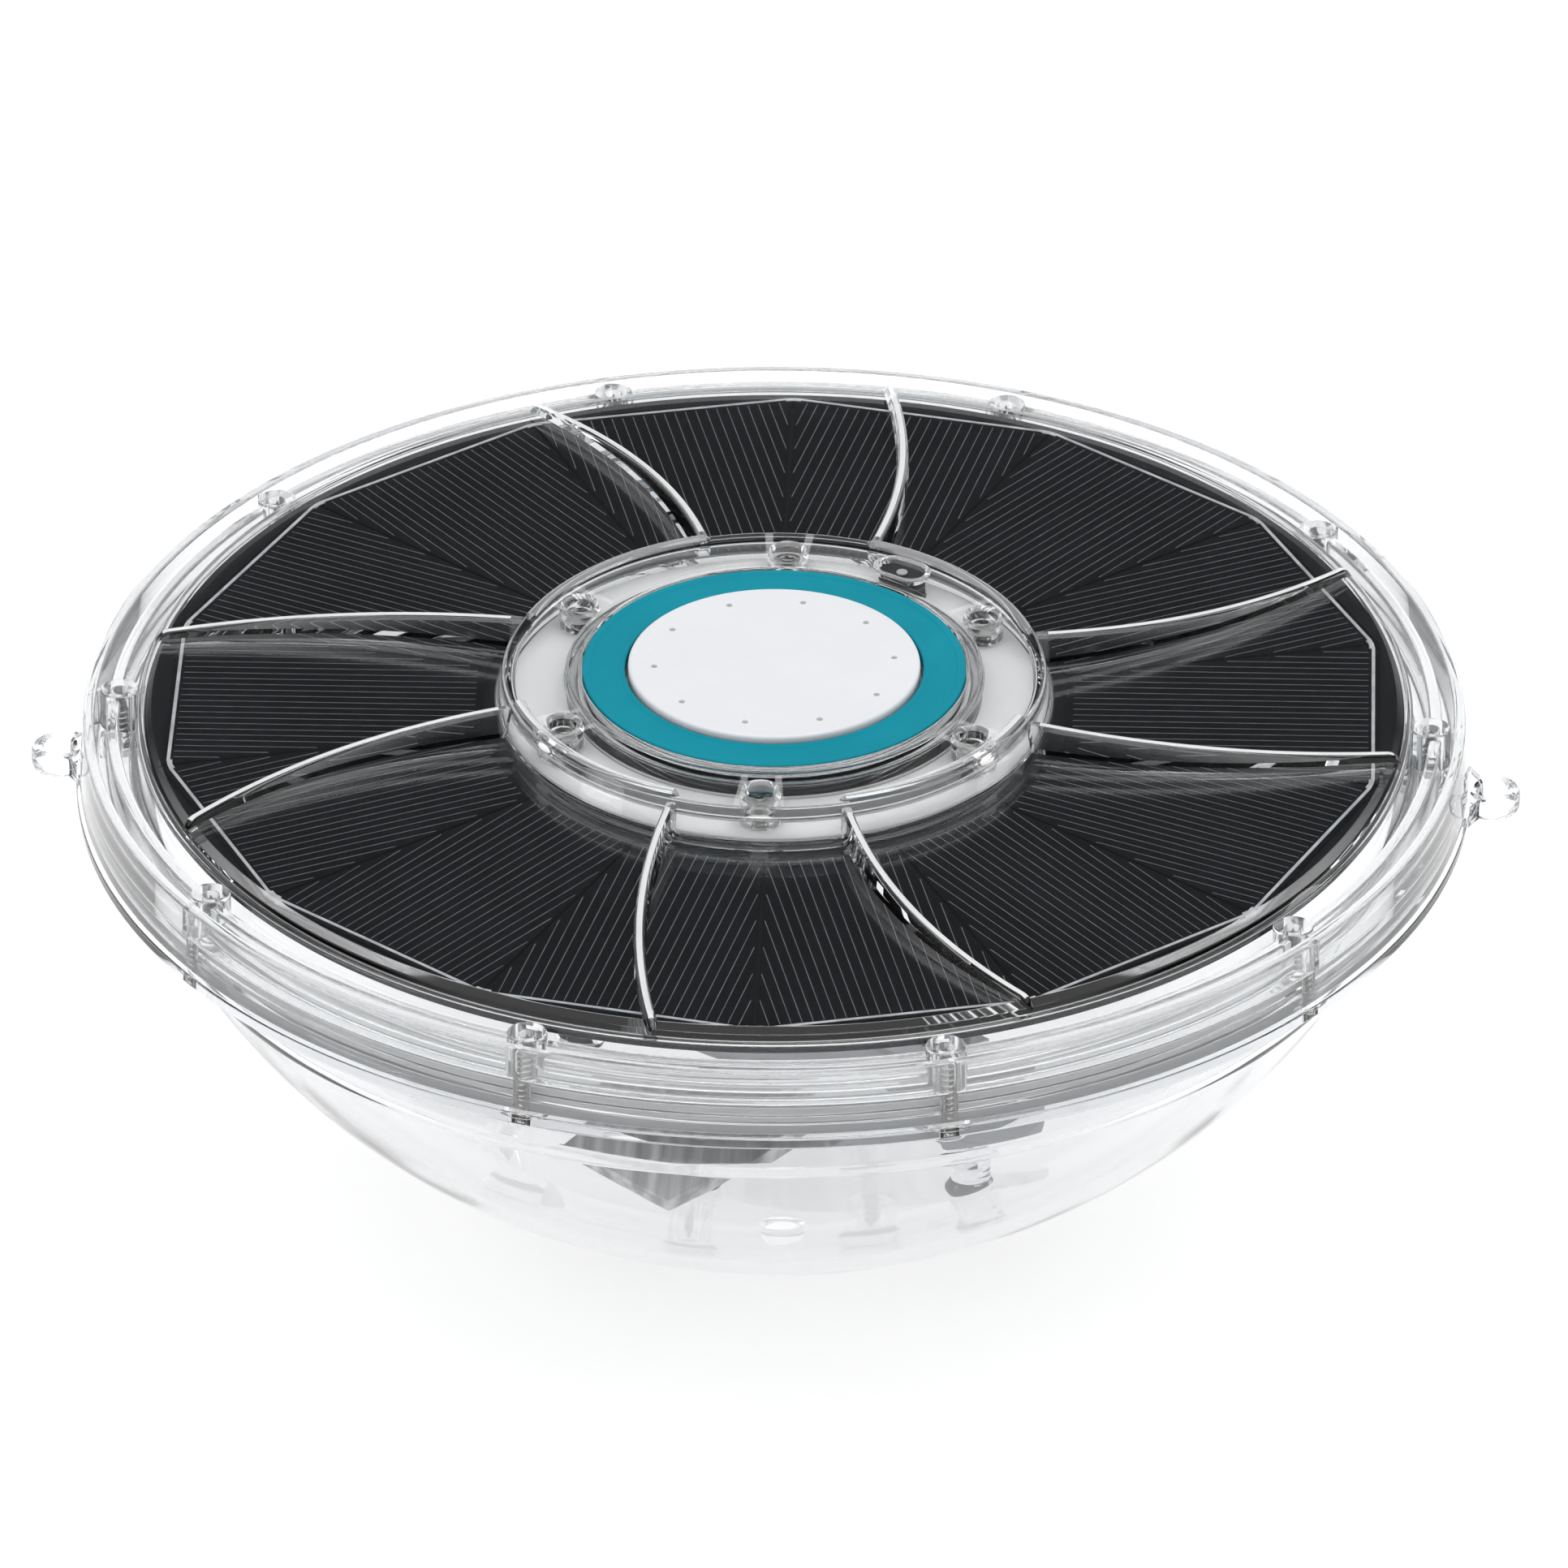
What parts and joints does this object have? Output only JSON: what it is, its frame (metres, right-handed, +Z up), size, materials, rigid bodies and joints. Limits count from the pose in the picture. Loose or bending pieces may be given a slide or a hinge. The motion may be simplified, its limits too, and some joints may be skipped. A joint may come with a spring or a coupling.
{
  "type": "floating pool light",
  "caption": "Floating solar pool light: a clear spherical bowl under a clear ribbed cover with a ring of dark solar cells, a raised hub, a coloured ring and a white push button.",
  "frame": {"origin": "on the plane of the three feet, under the centre of the bowl", "axes": "+Z up through the push button, +X through the two tether eyelets"},
  "size_m": [0.3, 0.2806, 0.1199],
  "materials": {
    "clear_shell": "clear polished",
    "silicone_clear": "matte",
    "stainless_screw": "bright",
    "stainless_wire": "drawn",
    "brushed_plate": "brushed",
    "black_laminate": "satin",
    "silicon_cell": "dark, fine silver fingers",
    "white_plastic": "satin",
    "black_plastic": "satin",
    "grey_plastic": "satin",
    "teal_silicone": "satin",
    "circuit_board": "solder mask",
    "battery_sleeve": "printed sleeve",
    "clear_lens": "clear"
  },
  "bodies": {
    "float": {"bowl": "clear_shell", "top_cover": "clear_shell", "rim_gasket": "silicone_clear", "rim_screw_01": "stainless_screw", "rim_screw_02": "stainless_screw", "rim_screw_03": "stainless_screw", "rim_screw_04": "stainless_screw", "rim_screw_05": "stainless_screw", "rim_screw_06": "stainless_screw", "rim_screw_07": "stainless_screw", "rim_screw_08": "stainless_screw", "rim_screw_09": "stainless_screw", "rim_screw_10": "stainless_screw", "panel_board": "black_laminate", "solar_cell_01": "silicon_cell", "solar_cell_02": "silicon_cell", "solar_cell_03": "silicon_cell", "solar_cell_04": "silicon_cell", "solar_cell_05": "silicon_cell", "solar_cell_06": "silicon_cell", "solar_cell_07": "silicon_cell", "solar_cell_08": "silicon_cell", "solar_cell_09": "silicon_cell", "solar_cell_10": "silicon_cell", "solar_cell_11": "silicon_cell", "solar_cell_12": "silicon_cell", "solar_cell_13": "silicon_cell", "solar_cell_14": "silicon_cell", "electronics_housing": "white_plastic", "hub_gasket": "silicone_clear", "hub_screw_1": "stainless_screw", "hub_screw_2": "stainless_screw", "hub_screw_3": "stainless_screw", "hub_screw_4": "stainless_screw", "hub_screw_5": "stainless_screw", "hub_screw_6": "stainless_screw", "sensor_carrier": "black_plastic", "light_sensor": "clear_lens", "control_board": "circuit_board", "battery_holder": "black_plastic", "battery_1": "battery_sleeve", "battery_2": "battery_sleeve", "battery_3": "battery_sleeve", "colour_ring": "teal_silicone", "button_seal": "silicone_clear", "switch_body": "black_plastic", "lamp_carrier": "grey_plastic", "led_board": "circuit_board", "led_1": "clear_lens", "led_2": "clear_lens", "led_3": "clear_lens", "led_4": "clear_lens", "ballast_bar": "brushed_plate", "ballast_screw_1": "stainless_screw", "ballast_screw_2": "stainless_screw", "lamp_screw_1": "stainless_screw", "lamp_screw_2": "stainless_screw", "button_spring": "stainless_wire"},
    "button": {"button_cap": "white_plastic"},
    "plunger": {"switch_plunger": "white_plastic"}
  },
  "joints": [
    {"name": "button_press", "type": "slide", "parent": "float", "child": "button", "axis": [0, 0, -1], "range_m": [0, 0.0009], "stiffness_N_per_m": 900, "springref_m": -0.001, "deforming": ["button_spring"]},
    {"name": "switch_press", "type": "slide", "parent": "float", "child": "plunger", "axis": [0, 0, -1], "range_m": [0, 0.0009]}
  ],
  "couplings": [
    {"joint": "switch_press", "follows": "button_press", "ratio": 1}
  ]
}
